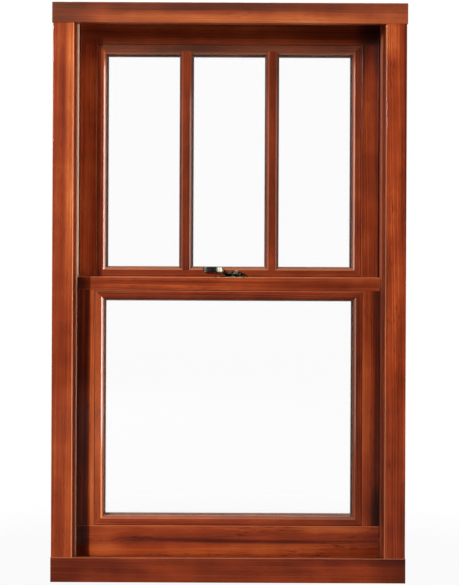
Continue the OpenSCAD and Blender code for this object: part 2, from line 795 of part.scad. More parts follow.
module lock_lever() color(nickel) on_pivot(cam_z) {
    pie_mid = 90 - lever_turn;
    reach = 2 * cam_r;
    difference() {
        union() {
            intersection() {
                along_y(-pad_w, pad_w) lever_side();
                along_z(0, lever_reach) lever_plan();
            }
            cylinder(r = hub_r, h = crescent_h);
            intersection() {
                difference() {
                    cylinder(r = cam_r, h = crescent_h);
                    translate([0, 0, cam_web_t]) cylinder(r = cam_r - crescent_t, h = crescent_h);
                }
                linear_extrude(crescent_h) pie(reach, pie_mid - cam_half_angle, pie_mid + cam_half_angle);
            }
        }
        translate([0, 0, -over]) cylinder(r = pivot_r + pivot_gap, h = crescent_h + 2 * over);
    }
}

// Keeper: a plate on the upper meeting rail that folds over and down to a hooked lip
module keeper_fasteners(gap = 0) {
    for (side = [-1, 1])
        translate([lock_x + side * keeper_screw_x, upper_y - keeper_t, upper_light_z - keeper_plate_h / 2])
            rotate([90, 0, 0]) screw(keeper_screw_r, keeper_screw_head, keeper_screw_l, gap);
}
module keeper() color(nickel) {
    x0 = lock_x - keeper_half;
    x1 = lock_x + keeper_half;
    y0 = upper_y - keeper_t;
    y1 = keeper_back + keeper_t;
    difference() {
        union() {
            block([lock_x - keeper_plate_half, y0, upper_light_z - keeper_plate_h],
                  [lock_x + keeper_plate_half, upper_y, upper_light_z]);
            block([x0, y0, upper_light_z - keeper_t], [x1, y1, upper_light_z]);
            block([x0, keeper_back, upper_light_z - keeper_t], [x1, y1, keeper_roof + keeper_t]);
            block([x0, y0, keeper_roof], [x1, y1, keeper_roof + keeper_t]);
            intersection() {
                on_pivot(cam_z + cam_web_t + cam_gap) difference() {
                    cylinder(r = lip_r, h = keeper_roof + keeper_t / 2 - cam_z - cam_web_t);
                    translate([0, 0, -over]) cylinder(r = lip_r - keeper_t, h = housing_r);
                }
                block([x0, y0, upper_light_z], [x1, y1, keeper_roof + keeper_t]);
            }
        }
        keeper_fasteners(fit);
    }
}
module keeper_screws() color(nickel) keeper_fasteners();

head_casing();
left_casing();
right_casing();
sill_casing();
head_jamb();
left_jamb();
right_jamb();
sill();
left_stop();
right_stop();
left_liner();
right_liner();
head_blind_stop();
left_blind_stop();
right_blind_stop();
head_seal();
lower_balance_tubes();
upper_balance_tubes();
balance_caps();
frame_screws();
lower_meeting_rail();
bottom_rail();
lower_left_stile();
lower_right_stile();
lower_top_bead();
lower_bottom_bead();
lower_left_bead();
lower_right_bead();
lower_inner_pane();
lower_outer_pane();
lower_spacer();
lower_setting_blocks();
lower_guides();
lower_balance_rods();
bottom_seal();
lock_housing();
lock_pivot();
lock_screws();
lock_lever();
top_rail();
upper_meeting_rail();
upper_left_stile();
upper_right_stile();
upper_top_bead();
upper_bottom_bead();
upper_left_bead();
upper_right_bead();
upper_inner_pane();
upper_outer_pane();
upper_spacer();
upper_setting_blocks();
left_muntin();
right_muntin();
outer_muntins();
upper_guides();
upper_balance_rods();
meeting_seal();
keeper();
keeper_screws();
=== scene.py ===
# %% [markdown]
# A sash window, dressed for its portrait
#
# The window is a double-hung one in mahogany: two sashes that slide past each other in a frame, the
# upper one divided into three lights, with a cam lock where they meet. Every stick of wood, pane and
# fitting already exists as a solid of its true size, so this lesson is about finish: wood grain, varnish,
# glass, metal, and the small repeated things that are too fine for the solids.

# %% Load the window's solids
import bpy
import math
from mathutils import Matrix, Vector


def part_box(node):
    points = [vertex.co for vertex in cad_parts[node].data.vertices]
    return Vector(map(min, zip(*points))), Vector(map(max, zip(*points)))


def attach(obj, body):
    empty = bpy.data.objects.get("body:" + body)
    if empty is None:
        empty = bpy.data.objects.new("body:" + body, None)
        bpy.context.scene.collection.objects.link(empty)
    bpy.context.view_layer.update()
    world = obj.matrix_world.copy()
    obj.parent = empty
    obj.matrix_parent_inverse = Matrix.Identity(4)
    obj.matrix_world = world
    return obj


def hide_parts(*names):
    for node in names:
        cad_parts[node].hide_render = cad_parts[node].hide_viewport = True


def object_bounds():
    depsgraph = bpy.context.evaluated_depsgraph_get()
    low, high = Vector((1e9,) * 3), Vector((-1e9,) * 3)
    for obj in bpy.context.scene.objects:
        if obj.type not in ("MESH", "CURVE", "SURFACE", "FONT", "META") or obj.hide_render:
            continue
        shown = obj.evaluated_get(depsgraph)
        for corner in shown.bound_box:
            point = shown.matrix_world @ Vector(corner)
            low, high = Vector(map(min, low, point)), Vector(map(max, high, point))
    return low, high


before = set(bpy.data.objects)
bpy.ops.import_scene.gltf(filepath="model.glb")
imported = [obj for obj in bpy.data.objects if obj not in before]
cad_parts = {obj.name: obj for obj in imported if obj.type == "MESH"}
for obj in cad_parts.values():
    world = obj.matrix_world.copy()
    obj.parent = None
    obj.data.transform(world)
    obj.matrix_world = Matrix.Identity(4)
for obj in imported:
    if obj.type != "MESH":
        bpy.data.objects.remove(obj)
solid_low, solid_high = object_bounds()
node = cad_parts
print("solids", len(node), "size", [round(v, 4) for v in solid_high - solid_low])

# %% [markdown]
# The camera
#
# The picture is almost frontal, taken from about three metres with a long lens. The height of the camera
# is that of the window's middle, so the uprights stay parallel, and it leans by a quarter of a degree. A
# camera could be aimed with a Track To constraint, but a level view needs only its place and its roll.
# The focal length is first written in pixels of the picture, because that is what can be measured on it,
# and then turned into millimetres on the sensor's long side.

# %% Camera
PICTURE_H = 585
FOCAL_PX = 1456
CAMERA_X = -0.018
CAMERA_TO_CASING = 3.118
PICTURE_NUDGE = 0.5
ROLL = math.radians(-0.25)

casing_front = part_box("left_casing")[0].y
window_mid_z = (solid_low.z + solid_high.z) / 2
camera_data = bpy.data.cameras.new("camera")
camera_data.lens = camera_data.sensor_width * FOCAL_PX / PICTURE_H
camera_data.shift_x = (PICTURE_NUDGE - CAMERA_X / CAMERA_TO_CASING * FOCAL_PX) / PICTURE_H
camera = bpy.data.objects.new("camera", camera_data)
camera.location = (CAMERA_X, casing_front - CAMERA_TO_CASING, window_mid_z)
camera.rotation_euler = (math.pi / 2, ROLL, 0)
scene = bpy.context.scene
scene.collection.objects.link(camera)
scene.camera = camera
scene.view_settings.view_transform = "Standard"
print("lens", round(camera_data.lens, 1), "mm, shift", round(camera_data.shift_x, 4))

# %% [markdown]
# A class for node maths
#
# Node trees are quick to read as formulas. This class wraps one output socket of a tree, so that
# `1 - mask` or `grain * 0.3` adds the Math node it stands for. Everything that isn't plain arithmetic
# comes from one method, `node`, which takes the node's type, its settings and its inputs. The same class
# serves shader trees and geometry trees, because both kinds have sockets and links.

# %% Wire, a socket that does sums


def pick(sockets, key):
    """The socket with this number, identifier or name."""
    if isinstance(key, int):
        return sockets[key]
    return next(s for s in sockets if key in (s.identifier, s.name))


class Wire:
    """An output socket of a node tree. Sums of wires and numbers add Math nodes to the tree."""

    def __init__(self, tree, socket):
        self.tree = tree
        self.socket = socket

    def node(self, kind, settings, inputs, out=0):
        """Adds a node of this kind: settings first, then inputs, as numbers, wires or lists of wires."""
        made = self.tree.nodes.new(kind)
        for name, value in settings.items():
            if name == "stops":
                set_stops(made.color_ramp, value)
            else:
                setattr(made, name, value)
        for key, value in inputs.items():
            socket = pick(made.inputs, key)
            if isinstance(value, (Wire, list)):
                for wire in value if isinstance(value, list) else [value]:
                    self.tree.links.new(wire.socket, socket)
            else:
                socket.default_value = value
        return Wire(self.tree, pick(made.outputs, out)) if len(made.outputs) else None

    def math(self, operation, first, second):
        """One Math node."""
        return self.node("ShaderNodeMath", {"operation": operation}, {0: first, 1: second})

    def __add__(self, other):
        return self.math("ADD", self, other)

    def __radd__(self, other):
        return self.math("ADD", other, self)

    def __sub__(self, other):
        return self.math("SUBTRACT", self, other)

    def __rsub__(self, other):
        return self.math("SUBTRACT", other, self)

    def __mul__(self, other):
        return self.math("MULTIPLY", self, other)

    def __rmul__(self, other):
        return self.math("MULTIPLY", other, self)

    def __truediv__(self, other):
        return self.math("DIVIDE", self, other)

    def __rtruediv__(self, other):
        return self.math("DIVIDE", other, self)

    def __pow__(self, power):
        return self.math("POWER", self, power)

    def __abs__(self):
        return self.math("ABSOLUTE", self, 0.0)

    def most(self, other):
        """The larger of the two."""
        return self.math("MAXIMUM", self, other)

    def step(self, low, high):
        """0 below low and 1 above high, with a soft ramp between, or the reverse if low is the larger."""
        inputs = {"Value": self, "From Min": low, "From Max": high}
        return self.node("ShaderNodeMapRange", {"interpolation_type": "SMOOTHSTEP"}, inputs)

    def parts(self):
        """The X, Y and Z of a vector."""
        split = self.node("ShaderNodeSeparateXYZ", {}, {0: self}).socket.node
        return [Wire(self.tree, socket) for socket in split.outputs]

    def blend(self, first, second):
        """A colour between first and second, by this wire."""
        inputs = {"Factor_Float": self, "A_Color": first, "B_Color": second}
        return self.node("ShaderNodeMix", {"data_type": "RGBA"}, inputs, "Result_Color")


def set_stops(ramp, stops):
    """Gives a colour ramp these (place, colour) stops."""
    while len(ramp.elements) < len(stops):
        ramp.elements.new(1.0)
    for element, (place, colour) in zip(ramp.elements, stops):
        element.position = place
        element.color = colour


def vector(x, y, z):
    """A vector made of three wires or numbers, of which one at least is a wire."""
    some = next(part for part in (x, y, z) if isinstance(part, Wire))
    return some.node("ShaderNodeCombineXYZ", {}, {0: x, 1: y, 2: z})


def noise(at, detail=2.0, scale=1.0):
    """Soft noise between 0 and 1 at a vector."""
    inputs = {"Vector": at, "Scale": scale, "Detail": detail}
    return at.node("ShaderNodeTexNoise", {}, inputs, "Fac")


def paint(red, green, blue):
    """A colour as it looks on screen, 0 to 255, in the linear values that Blender reckons with."""
    def linear(part):
        share = part / 255
        return share / 12.92 if share <= 0.04045 else ((share + 0.055) / 1.055) ** 2.4
    return (linear(red), linear(green), linear(blue), 1.0)


print("Wire ready, mid grey", [round(v, 3) for v in paint(128, 128, 128)])

# %% [markdown]
# Light
#
# The shadows tell where the light was. The left casing throws an upright shadow on the sash behind it,
# 75 mm deep and 32 mm wide, so the main light stands 23 degrees to the left of that edge, seen from
# there. The shadow's edge is sharp across and soft below the head, so the light is narrow and tall.
#
# The pale liner on the left and the bright chamfers beside the glass say what else stood in the room. A
# tall warm panel far round to the right, at 80 degrees from the front, reaches into the left jamb. A
# chamfer mirrors what lies to its side, so a slit stands at 75 degrees on the right, and a dimmer one on
# the left. The muntins' flatter chamfers look less far round, to a strip on each side at 60 degrees. A
# panel overhead catches the upper edges of the rails, and one behind the window, too high to be seen
# through the panes, lights its outside.

# %% Lamps
AIM = Vector((0.0, casing_front, window_mid_z))
DAYLIGHT = (1.0, 1.0, 1.0)
WARM = (1.0, 0.89, 0.8)


def softbox(name, place, width, height, watts, colour=DAYLIGHT):
    """An area light at a place measured from the middle of the window's front, looking at that middle."""
    lamp = bpy.data.lights.new(name, "AREA")
    lamp.shape = "RECTANGLE"
    lamp.size, lamp.size_y = width, height
    lamp.energy = watts
    lamp.color = colour
    holder = bpy.data.objects.new(name, lamp)
    holder.location = AIM + Vector(place)
    holder.rotation_euler = Vector(place).to_track_quat("Z", "Y").to_euler()
    scene.collection.objects.link(holder)


softbox("key", (-2.48, -5.0, 1.6), width=0.25, height=1.3, watts=325)
softbox("right_panel", (2.43, -0.43, 0.17), width=0.2, height=1.7, watts=54, colour=WARM)
softbox("right_slit", (2.4, -0.64, 0.17), width=0.2, height=1.7, watts=20, colour=WARM)
softbox("left_slit", (-2.4, -0.66, 0.17), width=0.2, height=1.7, watts=9, colour=WARM)
softbox("right_strip", (2.62, -1.35, 0.1), width=0.5, height=1.5, watts=14.5, colour=WARM)
softbox("left_strip", (-2.62, -1.35, 0.1), width=0.5, height=1.5, watts=4.6, colour=WARM)
softbox("top_panel", (0.0, -0.5, 2.3), width=1.6, height=0.7, watts=12)
softbox("back_panel", (0.0, 2.6, 2.1), width=1.6, height=1.2, watts=75)

# %% [markdown]
# The room and the white ground
#
# Behind the window everything is white. That white mustn't light the window, so the world tells rays
# apart: what the camera sees, also through glass, is white, what varnish and metal mirror is white
# behind the window and dim in front, and everything else gets the room's weak light.

# %% World
ROOM_LIGHT = 0.035
ROOM_MIRRORED = 0.07
BACK_FADE = (-0.1, 0.15)
WHITE = (1.0, 1.0, 1.0, 1.0)

world = bpy.data.worlds.new("studio")
world.use_nodes = True
scene.world = world
world_tree = world.node_tree
world_tree.nodes.clear()
ray = Wire(world_tree, world_tree.nodes.new("ShaderNodeLightPath").outputs["Is Camera Ray"])
is_glossy = Wire(world_tree, ray.socket.node.outputs["Is Glossy Ray"])
is_through = Wire(world_tree, ray.socket.node.outputs["Is Transmission Ray"])
towards_back = ray.node("ShaderNodeTexCoord", {}, {}, "Generated").parts()[1].step(*BACK_FADE)
mirrored = ROOM_MIRRORED + (1 - ROOM_MIRRORED) * towards_back
seen = ray.most(is_through)
strength = seen + (1 - seen) * (is_glossy * mirrored + (1 - is_glossy) * ROOM_LIGHT)
background = ray.node("ShaderNodeBackground", {}, {"Color": WHITE, "Strength": strength})
background.node("ShaderNodeOutputWorld", {}, {"Surface": background})
print("world", len(world_tree.nodes), "nodes")

# %% [markdown]
# The floor
#
# The window stands on a pale floor that keeps its shadow. Further off the floor fades into the white
# ground, so that no horizon shows through the glass. The fade is a distance from the floor's middle, read
# from its Object coordinates. A gradient texture would do as well, but a formula is easier to follow.

# %% Floor
FLOOR_HALF = 12.0
FLOOR_GREY = (0.2, 0.2, 0.2, 1.0)
SHADOW_NEAR, SHADOW_FAR = 0.5, 1.3
SHADOW_SHARE = 0.06
BEHIND_FADE = (-0.1, 0.3)


def blank_material(name):
    """A new material, and the wire of the Object coordinates that its pattern is laid on."""
    material = bpy.data.materials.new(name)
    material.use_nodes = True
    tree = material.node_tree
    place = tree.nodes.new("ShaderNodeTexCoord")
    return material, Wire(tree, place.outputs["Object"])


def floor_material():
    """White where it is seen, apart from a share of the shadow, and grey where it lights the window."""
    material, at = blank_material("pale_floor")
    far = at.node("ShaderNodeVectorMath", {"operation": "LENGTH"}, {0: at}, "Value")
    far = far.step(SHADOW_NEAR, SHADOW_FAR)
    ray = at.node("ShaderNodeLightPath", {}, {}, "Is Camera Ray")
    paths = ray.socket.node.outputs
    behind = at.parts()[1].step(*BEHIND_FADE)
    mirrored = Wire(at.tree, paths["Is Glossy Ray"]) * behind
    seen = ray.most(mirrored).most(Wire(at.tree, paths["Is Transmission Ray"]))
    lit = at.node("ShaderNodeBsdfDiffuse", {}, {"Color": FLOOR_GREY})
    white = at.node("ShaderNodeEmission", {}, {"Color": WHITE})
    share = seen * (1 - SHADOW_SHARE * (1 - far))
    both = at.node("ShaderNodeMixShader", {}, {0: share, 1: lit, 2: white})
    output = next(n for n in at.tree.nodes if n.type == "OUTPUT_MATERIAL")
    at.tree.links.new(both.socket, output.inputs["Surface"])
    return material


corners = [(-FLOOR_HALF, -FLOOR_HALF, 0), (FLOOR_HALF, -FLOOR_HALF, 0)]
corners += [(FLOOR_HALF, FLOOR_HALF, 0), (-FLOOR_HALF, FLOOR_HALF, 0)]
floor_mesh = bpy.data.meshes.new("floor")
floor_mesh.from_pydata(corners, [], [(0, 1, 2, 3)])
floor_mesh.materials.append(floor_material())
floor = bpy.data.objects.new("floor", floor_mesh)
scene.collection.objects.link(floor)
print("floor", 2 * FLOOR_HALF, "m wide")

# %% [markdown]
# Mahogany
#
# Mahogany is reddish brown, with soft growth bands, ribbons of lighter and darker wood that run along
# the board, thin streaks, and short dark flecks where the pores are cut. One could photograph a board,
# but a formula has no edges and fits every stick: the pattern is solid, cut by each face as a saw would
# cut it, so end grain comes by itself.
#
# The pattern is made of layers of noise, stretched along the grain, and of growth rings round a pith
# whose place changes from board to board. All of them add up to one shade from dark to light, and a
# colour ramp turns that into stained wood. Each board has its own seed and tone, and the figure that
# marks it: soft stripes and patches, each with its middle across and along the grain and its half sizes,
# in metres. Many of these stripes and patches paint the shade, highlights and sheen that light and shadow
# put on the window. `lively` says how strongly bands, ribbons and streaks show, and `flecked` how dark
# the flecks are, which lie in clusters.

# %% Wood grain
WOOD_STOPS = [
    (0.0, paint(36, 11, 6)),
    (0.28, paint(88, 30, 13)),
    (0.5, paint(135, 53, 23)),
    (0.72, paint(175, 85, 40)),
    (1.0, paint(228, 144, 86)),
]
# Pores and flecks, and also the painted shade in the corners by the glass.
PORE_AND_SHADE_COLOUR = paint(52, 17, 9)
PORE_SHARE = 0.3
SEED_SHIFT = 3.7
WANDER = 0.012
WANDER_ALONG, WANDER_ACROSS = 1.7, 5.0
PITH_SIDE, PITH_SIDE_RATE = 0.11, 5.1
PITH_DEPTH, PITH_SWING, PITH_SWING_RATE = 0.05, 0.04, 3.3
RING_RISE = 0.012
BAND_SCALE = 75
# Each layer's scale along the grain, its scale across, and the detail of its noise.
LAYER_SCALES = {
    "zone": (6.5, 26, 1.5),
    "ribbon": (0.9, 48, 2.5),
    "streak": (5.0, 330, 2.0),
    "ripple": (26.0, 9.0, 1.0),
    "fleck": (42.0, 430, 1.0),
    "cluster": (5.0, 34.0, 1.0),
    "pore": (55.0, 1400, 0.0),
}
LAYER_CUTS = {"fleck": (0.56, 0.68), "cluster": (0.46, 0.6), "pore": (0.62, 0.74)}
LIVELY_SHARES = {"band": 0.4, "ribbon": 0.5, "streak": 0.15}
CALM_SHARES = {"zone": 0.4, "ripple": 0.12}
PATCH_CORE = 0.2


def wood_layers(run, face, depth, seed):
    """The way across a board's wandering grain, and the layers of its pattern, each from 0 to 1."""
    shift = SEED_SHIFT * seed
    slow = noise(vector(run * WANDER_ALONG + shift, face * WANDER_ACROSS, depth * WANDER_ACROSS))
    across = face + WANDER * (slow - 0.5)
    pith_side = PITH_SIDE * math.sin(PITH_SIDE_RATE * seed)
    pith_depth = PITH_DEPTH + PITH_SWING * math.cos(PITH_SWING_RATE * seed)
    ring = ((across - pith_side) ** 2 + (depth + pith_depth) ** 2) ** 0.5 + run * RING_RISE
    rings = {"W": ring * BAND_SCALE + shift, "Detail": 3.0, "Roughness": 0.55}
    layers = {"band": ring.node("ShaderNodeTexNoise", {"noise_dimensions": "1D"}, rings, "Fac")}
    for layer, (along_scale, across_scale, detail) in LAYER_SCALES.items():
        place = vector(run * along_scale + shift, across * across_scale, depth * across_scale)
        layers[layer] = noise(place, detail)
    for layer, cut in LAYER_CUTS.items():
        layers[layer] = layers[layer].step(*cut)
    layers["fleck"] = layers["fleck"] * layers["cluster"]
    return across, layers


def soft_patch(across, run, middle, half):
    """1 in the middle of a stripe or patch and 0 outside it. A half size of None leaves that way open."""
    mask = 1.0
    for way, centre, reach in zip((across, run), middle, half):
        if reach is not None:
            mask = mask * abs(way - centre).step(reach, reach * PATCH_CORE)
    return mask


def wood_colour(run, across, layers, tone, figure_and_painted_light, flecked, lively):
    """Stained wood: layers, figure and painted light make its shade, and pores and flecks lie over it."""
    shade = 0.5 + tone
    for shares, strength in ((LIVELY_SHARES, lively), (CALM_SHARES, 1.0)):
        for layer, share in shares.items():
            shade = shade + strength * share * (layers[layer] - 0.5)
    for middle, half, gain in figure_and_painted_light:
        shade = shade + gain * soft_patch(across, run, middle, half)
    colour = shade.node("ShaderNodeValToRGB", {"stops": WOOD_STOPS}, {"Fac": shade})
    dark = (PORE_SHARE * layers["pore"]).most(flecked * layers["fleck"])
    return dark.blend(colour, PORE_AND_SHADE_COLOUR)


print("wood layers", ["band", *LAYER_SCALES])

# %% [markdown]
# Wear and varnish
#
# The varnish is the shader's coat: nearly smooth, over wood that hardly shines by itself. Along eased
# edges the stain is rubbed thin and the pale wood shows, and that pale colour is also a painted
# highlight, left off the edges that face down, out of the light. A board's faces look squarely along an
# axis and its edges don't, so the direction of the surface tells where the stain is `worn`, the highlight
# painted and the varnish rubbed off. A Bevel node could find edges too, but takes longer to render. Some
# boards also get a greyish painted sheen in patches, a painted reflection of something pale.
#
# On beads and muntins the varnish lies thick on the arris and thin in the corner by the glass. `corner`
# runs from 0 to 1 across the chamfer. It thins the coat and paints shade into the wood towards the
# glass. On the top bead it paints the wood paler instead, painted light in the shade of the head, by a
# share of its own. `varnish` is the coat's weight there. The sides of the stiles have lost their coat in
# the liners. The lips behind the glass show the colour of the bedding, painted lighter at the top and
# darker on the right, as lit and shaded copies of it.

# %% Wear and varnish
# Pale wood for worn edges. It also paints highlights on edges, and painted light in the top bead's corner.
WORN_AND_LIT_COLOUR = paint(232, 158, 116)
# A greyish painted sheen, a painted reflection of something pale, stronger in patches.
PAINTED_SHEEN_COLOUR = paint(97, 89, 69)
SHEEN_LEAST, SHEEN_SPREAD = 0.6, 0.8
# The bedding's colour, painted darker on the right and lighter at the top: shaded and lit copies.
BEDDING_LIT_AND_SHADED = {"right": paint(70, 44, 32), "top": paint(165, 106, 72), "other": paint(140, 100, 76)}
# How far a surface looks along an axis: 1 is squarely along it and -1 squarely against it.
SQUARE, ROUNDED = 0.985, 0.9
# Edges facing further down than this get no worn colour, so the painted highlight stays where light falls.
DOWNWARD, LEVEL = -0.5, -0.2
SIDEWAYS, SLANTED = 0.95, 0.8
FRONT_FADE = (-0.5, -0.9)
# Weights of the coat, sizes in metres, and shares of the painted shade in the corner.
FACE_COAT, EDGE_COAT = 0.5, 0.08
BEAD_BAND, BEAD_WIDTH, MUNTIN_FLAT = 0.0145, 0.0205, 0.015
CORNER_PAINTED_SHADE = 0.55
BOTTOM_CORNER = 0.5
RIM_FADE, RIM_RUBBED = 0.004, 0.94
LIP, LIP_FADE = 0.0075, 0.001
WOOD_ROUGHNESS, PORE_ROUGHNESS, RIBBON_ROUGHNESS = 0.42, 0.12, 0.1
FLECK_DEPTH, STREAK_HEIGHT = 0.6, 0.2


def finish_surface(material, fixed, wires):
    """Sets the surface's fixed numbers on its own sockets, and links what varies."""
    surface = next(n for n in material.node_tree.nodes if n.type == "BSDF_PRINCIPLED")
    for name, value in fixed.items():
        surface.inputs[name].default_value = value
    for name, wire in wires.items():
        material.node_tree.links.new(wire.socket, surface.inputs[name])
    return material


def corner_by_glass(name, x, z):
    """0 on the flat of a bead or muntin and 1 where its chamfer meets the glass, or None on other wood."""
    low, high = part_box(name)
    if "muntin" in name:
        half = (high.x - low.x) / 2
        return abs(x - (low.x + half)).step(MUNTIN_FLAT / 2, half)
    if "bead" not in name:
        return None
    inward = {"left": x - low.x, "right": high.x - x, "top": high.z - z, "bottom": z - low.z}
    return inward[name.split("_")[1]].step(BEAD_BAND, BEAD_WIDTH)


def mahogany(name, along, seed, tone, figure_and_painted_light, worn=0.12, flecked=0.25, painted_sheen=0.0, lively=1.0,
             varnish=0.85, corner_painted_light=0.0):
    """The finish of one board, with its figure, its painted light and shade, its wear and its varnish."""
    material, at = blank_material("wood_" + name)
    x, y, z = at.parts()
    run, face = (x, z) if along == "x" else (z, x)
    across, layers = wood_layers(run, face, y, seed)
    colour = wood_colour(run, across, layers, tone, figure_and_painted_light, flecked, lively)

    facing = at.node("ShaderNodeTexCoord", {}, {}, "Normal").parts()
    squarely = abs(facing[0]).most(abs(facing[1])).most(abs(facing[2]))
    edge = squarely.step(SQUARE, ROUNDED)
    # Wear and painted highlight together: the pale colour goes on edges that don't face down.
    painted_light_mask = edge * facing[2].step(DOWNWARD, LEVEL)
    colour = (worn * painted_light_mask).blend(colour, WORN_AND_LIT_COLOUR)
    # Painted sheen: greyer in patches, where the varnish would mirror something pale.
    painted_sheen_mask = painted_sheen * (SHEEN_LEAST + SHEEN_SPREAD * layers["zone"])
    colour = painted_sheen_mask.blend(colour, PAINTED_SHEEN_COLOUR)

    coat = FACE_COAT - (FACE_COAT - EDGE_COAT) * edge
    corner = corner_by_glass(name, x, z)
    if corner is not None:
        depth = BOTTOM_CORNER if "bottom" in name else 1.0
        rim = edge * corner.step(RIM_FADE, 0.0)
        # Painted shade darkens the corner by the glass. On the top bead the corner is painted paler, as
        # light.
        tint, share = (WORN_AND_LIT_COLOUR, corner_painted_light) if corner_painted_light else (PORE_AND_SHADE_COLOUR, CORNER_PAINTED_SHADE * depth)
        colour = (share * corner).blend(colour, tint)
        coat = varnish * (1 - depth * corner - RIM_RUBBED * rim)
    if name.endswith("stile"):
        coat = coat * abs(facing[0]).step(SIDEWAYS, SLANTED)
    # The lip takes the bedding colour of its side, with that side's painted light or shade.
    if name.endswith(("rail", "stile")):
        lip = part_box(name)[1].y - LIP
        bed = y.step(lip - LIP_FADE, lip) * facing[1].step(*FRONT_FADE)
        side = next((part for part in ("right", "top") if part in name), "other")
        colour = bed.blend(colour, BEDDING_LIT_AND_SHADED[side])

    height = 1 - layers["pore"] - FLECK_DEPTH * layers["fleck"] + STREAK_HEIGHT * layers["streak"]
    bump = at.node("ShaderNodeBump", {}, {"Strength": 0.08, "Distance": 0.0003, "Height": height})
    roughness = WOOD_ROUGHNESS + PORE_ROUGHNESS * layers["pore"]
    roughness = roughness + RIBBON_ROUGHNESS * (layers["ribbon"] - 0.5)
    fixed = {"Specular IOR Level": 0.03, "Coat Roughness": 0.1}
    wires = {"Base Color": colour, "Roughness": roughness, "Coat Weight": coat, "Normal": bump}
    return finish_surface(material, fixed, wires)


def dress(name, material):
    """Gives one of the window's solids its finish."""
    slots = node[name].data.materials
    slots.clear()
    slots.append(material)


print("coat on faces", FACE_COAT, "and on edges", EDGE_COAT)

# %% [markdown]
# Choosing the boards
#
# A joiner picks each board by its figure, and so does this list, which also paints light and shade on the
# boards. It gives the way of the grain, x for rails and z for stiles, the tone, and the stripes and patches
# that set a board apart: the head casing is dark above and light below, the lower half partly a painted
# reflection; the left casing is light towards the opening, partly a painted sheen; both lower stiles are
# dark at their outer edge, a painted shade over darker wood. Other patches paint the shade below the head,
# in the left casing's shadow and at the ends of rails, and a highlight on one chamfer. A second list holds
# the wear, which is also a painted highlight on edges, the flecks, the painted sheen and the varnish of the
# boards that differ in them.

# %% Boards
BOARDS = {
    "head_casing": ("x", 0.0, [
        # Next two: a lighter lower half, partly a painted reflection of the pale floor, and a darker upper
        # half.
        ((1.207, 0.03), (0.015, 0.42), 0.2),
        ((1.233, -0.02), (0.014, 0.46), -0.25),
        ((1.22, -0.37), (0.06, 0.1), -0.2),
    ]),
    "sill_casing": ("x", -0.12, [
        ((0.046, 0.0), (0.014, None), -0.08),
        # Painted shade: darker towards the right end.
        ((0.026, 0.38), (0.06, 0.09), -0.16),
        ((0.026, -0.36), (0.06, 0.08), -0.06),
    ]),
    "left_casing": ("z", 0.02, [
        # Lighter towards the opening in the upper half, partly a painted sheen of the main light.
        ((-0.342, 0.95), (0.014, 0.5), 0.28),
        ((-0.361, 0.5), (0.010, None), -0.05),
    ]),
    "right_casing": ("z", -0.05, [
        ((0.374, 0.95), (0.016, 0.35), -0.14),
        ((0.374, 0.3), (0.016, 0.3), 0.05),
        ((0.346, 1.17), (0.03, 0.06), 0.2),
        ((0.3805, 0.6), (0.007, None), -0.3),
    ]),
    "head_jamb": ("x", -0.05, []),
    "left_jamb": ("z", -0.04, []),
    "right_jamb": ("z", -0.04, []),
    "sill": ("x", -0.05, []),
    "left_stop": ("z", -0.16, []),
    "right_stop": ("z", -0.09, []),
    "head_blind_stop": ("x", -0.05, []),
    "left_blind_stop": ("z", -0.05, []),
    "right_blind_stop": ("z", -0.05, []),
    "lower_meeting_rail": ("x", 0.01, [
        # Painted shade: the left end lies in the left casing's shadow.
        ((0.64, -0.334), (0.06, 0.03), -0.24),
        ((0.635, -0.18), (0.006, 0.18), 0.14),
        ((0.6445, -0.05), (0.0035, 0.32), -0.14),
    ]),
    "bottom_rail": ("x", 0.0, [
        ((0.077, 0.06), (0.006, 0.36), -0.24),
        ((0.07, -0.27), (0.05, 0.05), 0.12),
        ((0.058, 0.05), (0.013, 0.36), 0.1),
        # Painted shade: darker towards the right end.
        ((0.08, 0.34), (0.06, 0.06), -0.14),
        # Painted shade: the next two deepen the left casing's shadow on the left end.
        ((0.08, -0.334), (0.08, 0.03), -0.22),
        ((0.08, -0.315), (0.08, 0.014), -0.2),
    ]),
    "lower_left_stile": ("z", 0.14, [
        # Painted shade: these deepen the left casing's shadow on the outer edge, the last one at its edge.
        ((-0.332, 0.37), (0.022, None), -0.24),
        ((-0.321, 0.37), (0.016, None), -0.17),
        ((-0.3105, 0.37), (0.008, None), -0.27),
    ]),
    "lower_right_stile": ("z", 0.1, [
        # Painted shade beside the stop, over darker wood, and near the bottom corner.
        ((0.334, 0.37), (0.027, None), -0.5),
        ((0.325, 0.12), (0.035, 0.1), -0.2),
    ]),
    "lower_top_bead": ("x", -0.08, []),
    "lower_bottom_bead": ("x", -0.03, []),
    # The lower left bead's patch is a painted highlight, a pale line on its chamfer.
    "lower_left_bead": ("z", 0.05, [((-0.2785, 0.12), (0.0035, 0.22), 0.45)]),
    "lower_right_bead": ("z", -0.1, []),
    # The top rail's patches are painted shade in the corners below the head, the right one darker.
    "top_rail": ("x", 0.02, [((1.2, 0.33), (0.08, 0.06), -0.4), ((1.2, -0.32), (0.08, 0.07), -0.14)]),
    "upper_meeting_rail": ("x", -0.05, []),
    # The upper left stile's patch is painted shade at its top, below the head.
    "upper_left_stile": ("z", 0.07, [((-0.31, 1.19), (0.06, 0.09), -0.16)]),
    "upper_right_stile": ("z", -0.04, [
        # Painted shade below the head at the top, and beside the liner along the outer edge.
        ((0.31, 1.2), (0.06, 0.13), -0.3),
        ((0.335, 0.9), (0.022, None), -0.2),
    ]),
    "upper_top_bead": ("x", -0.16, []),
    "upper_bottom_bead": ("x", 0.0, []),
    "upper_left_bead": ("z", 0.0, []),
    # The upper right bead's patch is painted shade at its top, below the head.
    "upper_right_bead": ("z", -0.02, [((0.28, 1.2), (0.05, 0.09), -0.2)]),
    "left_muntin": ("z", -0.15, []),
    "right_muntin": ("z", -0.07, []),
    "outer_muntins": ("z", -0.05, []),
}
